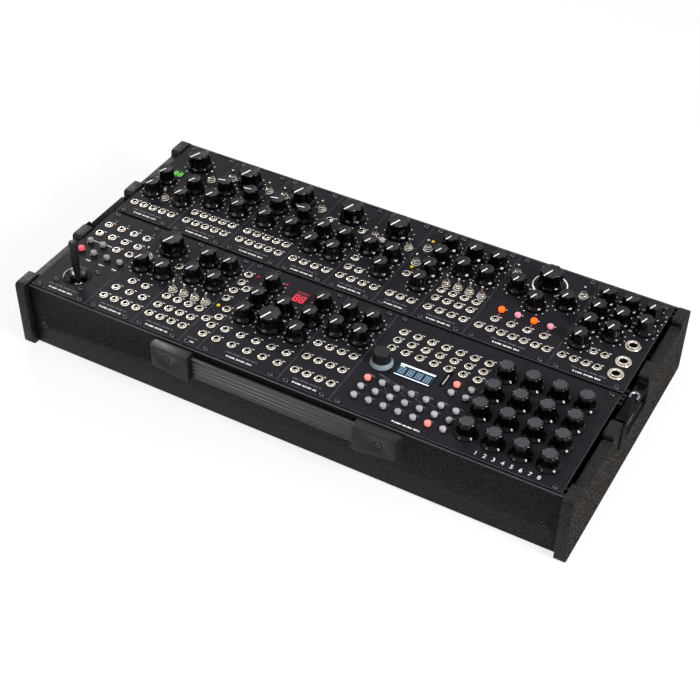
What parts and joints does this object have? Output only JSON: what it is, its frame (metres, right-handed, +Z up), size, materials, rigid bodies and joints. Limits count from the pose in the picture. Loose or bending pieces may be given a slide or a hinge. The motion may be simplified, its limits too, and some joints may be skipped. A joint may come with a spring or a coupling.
{
  "type": "modular synthesizer",
  "caption": "Two rows of black synthesizer modules with knobs, jacks, toggles and a joystick, in a low portable case with stepped ends, side latches and a strap handle.",
  "frame": {"origin": "on the surface the case stands on, under the middle of its outline", "axes": "+X to the right along the rows, +Y to the back, +Z up"},
  "size_m": [0.5556, 0.2824, 0.1095],
  "materials": {
    "case_wall": "pebbled black",
    "cheek": "speckled grey-brown outside, smooth black edges",
    "latch_steel": "dark polished",
    "rail": "satin",
    "rubber": "satin",
    "black_plastic": "matte",
    "knob": "gloss",
    "nickel": "bright",
    "button": "satin",
    "board": "satin",
    "panel": "matte black"
  },
  "bodies": {
    "case": {"front_wall": "case_wall", "rear_wall": "case_wall", "bottom_panel": "case_wall", "left_cheek": "cheek", "left_latch_dish": "latch_steel", "right_cheek": "cheek", "right_latch_dish": "latch_steel", "lower_front_rail": "rail", "lower_rear_rail": "rail", "upper_front_rail": "rail", "upper_rear_rail": "rail", "left_strap_cap": "rubber", "right_strap_cap": "rubber", "handle_strap": "rubber", "power_inlet": "black_plastic", "power_board": "board", "joystick_module": "panel", "envelope_module": "panel", "mixer_module": "panel", "multiple_module": "panel", "effects_module": "panel", "attenuator_module": "panel", "sequencer_module": "panel", "voice_module": "panel", "oscillator_a_module": "panel", "oscillator_b_module": "panel", "filter_a_module": "panel", "filter_b_module": "panel", "utility_module": "panel", "level_module": "panel", "logic_module": "panel", "output_module": "panel"},
    "left_latch_lever_body": {"left_latch_lever": "latch_steel"},
    "right_latch_lever_body": {"right_latch_lever": "latch_steel"},
    "power_switch_body": {"power_switch": "knob"},
    "joystick_button_1_body": {"joystick_button_1": "button"},
    "joystick_button_2_body": {"joystick_button_2": "button"},
    "joystick_button_3_body": {"joystick_button_3": "button"},
    "joystick_button_4_body": {"joystick_button_4": "button"},
    "joystick_button_5_body": {"joystick_button_5": "button"},
    "joystick_button_6_body": {"joystick_button_6": "button"},
    "joystick_gimbal_body": {"joystick_gimbal": "nickel"},
    "joystick_stick_body": {"joystick_stick": "rubber"},
    "envelope_knob_body": {"envelope_knob": "knob"},
    "effects_knob_body": {"effects_knob": "knob"},
    "sequencer_encoder_knob_body": {"sequencer_encoder_knob": "knob"},
    "voice_knob_body": {"voice_knob": "knob"},
    "oscillator_a_small_knob_1_body": {"oscillator_a_small_knob_1": "knob"},
    "oscillator_a_small_knob_2_body": {"oscillator_a_small_knob_2": "knob"},
    "oscillator_a_small_knob_3_body": {"oscillator_a_small_knob_3": "knob"},
    "oscillator_a_small_knob_4_body": {"oscillator_a_small_knob_4": "knob"},
    "oscillator_a_knob_body": {"oscillator_a_knob": "knob"},
    "oscillator_a_toggle_1_body": {"oscillator_a_toggle_1": "nickel"},
    "oscillator_a_toggle_2_body": {"oscillator_a_toggle_2": "nickel"},
    "oscillator_b_knob_body": {"oscillator_b_knob": "knob"},
    "oscillator_b_toggle_1_body": {"oscillator_b_toggle_1": "nickel"},
    "oscillator_b_toggle_2_body": {"oscillator_b_toggle_2": "nickel"},
    "filter_a_knob_body": {"filter_a_knob": "knob"},
    "filter_b_knob_body": {"filter_b_knob": "knob"},
    "logic_knob_body": {"logic_knob": "knob"}
  },
  "joints": [
    {"name": "left_latch_lever_open", "type": "hinge", "parent": "case", "child": "left_latch_lever_body", "pos_m": [-0.27426, 0.00484, 0.0462], "axis": [0, -1, 0], "range_deg": [0, 100]},
    {"name": "right_latch_lever_open", "type": "hinge", "parent": "case", "child": "right_latch_lever_body", "pos_m": [0.27426, 0.00484, 0.0462], "axis": [0, 1, 0], "range_deg": [0, 100]},
    {"name": "power_switch_rock", "type": "hinge", "parent": "case", "child": "power_switch_body", "pos_m": [-0.18108, 0.13537, 0.036], "axis": [1, 0, 0], "range_deg": [-20, 0]},
    {"name": "joystick_button_1_press", "type": "slide", "parent": "case", "child": "joystick_button_1_body", "axis": [0, 0, 1], "range_m": [-0.001, 0], "stiffness_N_per_m": 300},
    {"name": "joystick_button_2_press", "type": "slide", "parent": "case", "child": "joystick_button_2_body", "axis": [0, 0, 1], "range_m": [-0.001, 0], "stiffness_N_per_m": 300},
    {"name": "joystick_button_3_press", "type": "slide", "parent": "case", "child": "joystick_button_3_body", "axis": [0, 0, 1], "range_m": [-0.001, 0], "stiffness_N_per_m": 300},
    {"name": "joystick_button_4_press", "type": "slide", "parent": "case", "child": "joystick_button_4_body", "axis": [0, 0, 1], "range_m": [-0.001, 0], "stiffness_N_per_m": 300},
    {"name": "joystick_button_5_press", "type": "slide", "parent": "case", "child": "joystick_button_5_body", "axis": [0, 0, 1], "range_m": [-0.001, 0], "stiffness_N_per_m": 300},
    {"name": "joystick_button_6_press", "type": "slide", "parent": "case", "child": "joystick_button_6_body", "axis": [0, 0, 1], "range_m": [-0.001, 0], "stiffness_N_per_m": 300},
    {"name": "joystick_front_back", "type": "hinge", "parent": "case", "child": "joystick_gimbal_body", "pos_m": [-0.2343, -0.09713, 0.0549], "axis": [1, 0, 0], "range_deg": [-20, 20], "stiffness_Nm_per_rad": 0.02},
    {"name": "joystick_left_right", "type": "hinge", "parent": "joystick_gimbal_body", "child": "joystick_stick_body", "pos_m": [-0.2343, -0.09713, 0.0549], "axis": [0, 1, 0], "range_deg": [-20, 20], "stiffness_Nm_per_rad": 0.02},
    {"name": "envelope_knob_turn", "type": "hinge", "parent": "case", "child": "envelope_knob_body", "pos_m": [-0.1789, -0.02183, 0.0695], "axis": [0, 0, 1], "range_deg": [-300, 0]},
    {"name": "effects_knob_turn", "type": "hinge", "parent": "case", "child": "effects_knob_body", "pos_m": [-0.04174, -0.07015, 0.0695], "axis": [0, 0, 1], "range_deg": [-300, 0]},
    {"name": "sequencer_encoder_knob_turn", "type": "hinge", "parent": "case", "child": "sequencer_encoder_knob_body", "pos_m": [0.06735, -0.06372, 0.0695], "axis": [0, 0, 1], "continuous": true},
    {"name": "voice_knob_turn", "type": "hinge", "parent": "case", "child": "voice_knob_body", "pos_m": [-0.23478, 0.10729, 0.0695], "axis": [0, 0, 1], "range_deg": [-300, 0]},
    {"name": "oscillator_a_small_knob_1_turn", "type": "hinge", "parent": "case", "child": "oscillator_a_small_knob_1_body", "pos_m": [-0.18824, 0.08364, 0.0695], "axis": [0, 0, 1], "range_deg": [-256, 44]},
    {"name": "oscillator_a_small_knob_2_turn", "type": "hinge", "parent": "case", "child": "oscillator_a_small_knob_2_body", "pos_m": [-0.15837, 0.08364, 0.0695], "axis": [0, 0, 1], "range_deg": [-256, 44]},
    {"name": "oscillator_a_small_knob_3_turn", "type": "hinge", "parent": "case", "child": "oscillator_a_small_knob_3_body", "pos_m": [-0.18824, 0.05987, 0.0695], "axis": [0, 0, 1], "range_deg": [-300, 0]},
    {"name": "oscillator_a_small_knob_4_turn", "type": "hinge", "parent": "case", "child": "oscillator_a_small_knob_4_body", "pos_m": [-0.15837, 0.05987, 0.0695], "axis": [0, 0, 1], "range_deg": [-300, 0]},
    {"name": "oscillator_a_knob_turn", "type": "hinge", "parent": "case", "child": "oscillator_a_knob_body", "pos_m": [-0.17382, 0.10677, 0.0695], "axis": [0, 0, 1], "range_deg": [-300, 0]},
    {"name": "oscillator_a_toggle_1_flip", "type": "hinge", "parent": "case", "child": "oscillator_a_toggle_1_body", "pos_m": [-0.19418, 0.10549, 0.0695], "axis": [1, 0, 0], "range_deg": [0, 24]},
    {"name": "oscillator_a_toggle_2_flip", "type": "hinge", "parent": "case", "child": "oscillator_a_toggle_2_body", "pos_m": [-0.15116, 0.10549, 0.0695], "axis": [1, 0, 0], "range_deg": [0, 24]},
    {"name": "oscillator_b_knob_turn", "type": "hinge", "parent": "case", "child": "oscillator_b_knob_body", "pos_m": [-0.11286, 0.10677, 0.0695], "axis": [0, 0, 1], "range_deg": [-300, 0]},
    {"name": "oscillator_b_toggle_1_flip", "type": "hinge", "parent": "case", "child": "oscillator_b_toggle_1_body", "pos_m": [-0.13322, 0.10549, 0.0695], "axis": [1, 0, 0], "range_deg": [0, 24]},
    {"name": "oscillator_b_toggle_2_flip", "type": "hinge", "parent": "case", "child": "oscillator_b_toggle_2_body", "pos_m": [-0.0902, 0.10549, 0.0695], "axis": [1, 0, 0], "range_deg": [0, 24]},
    {"name": "filter_a_knob_turn", "type": "hinge", "parent": "case", "child": "filter_a_knob_body", "pos_m": [-0.05698, 0.10729, 0.0695], "axis": [0, 0, 1], "range_deg": [-300, 0]},
    {"name": "filter_b_knob_turn", "type": "hinge", "parent": "case", "child": "filter_b_knob_body", "pos_m": [-0.00618, 0.10729, 0.0695], "axis": [0, 0, 1], "range_deg": [-300, 0]},
    {"name": "logic_knob_turn", "type": "hinge", "parent": "case", "child": "logic_knob_body", "pos_m": [0.1513, 0.10883, 0.0695], "axis": [0, 0, 1], "range_deg": [-300, 0]}
  ]
}
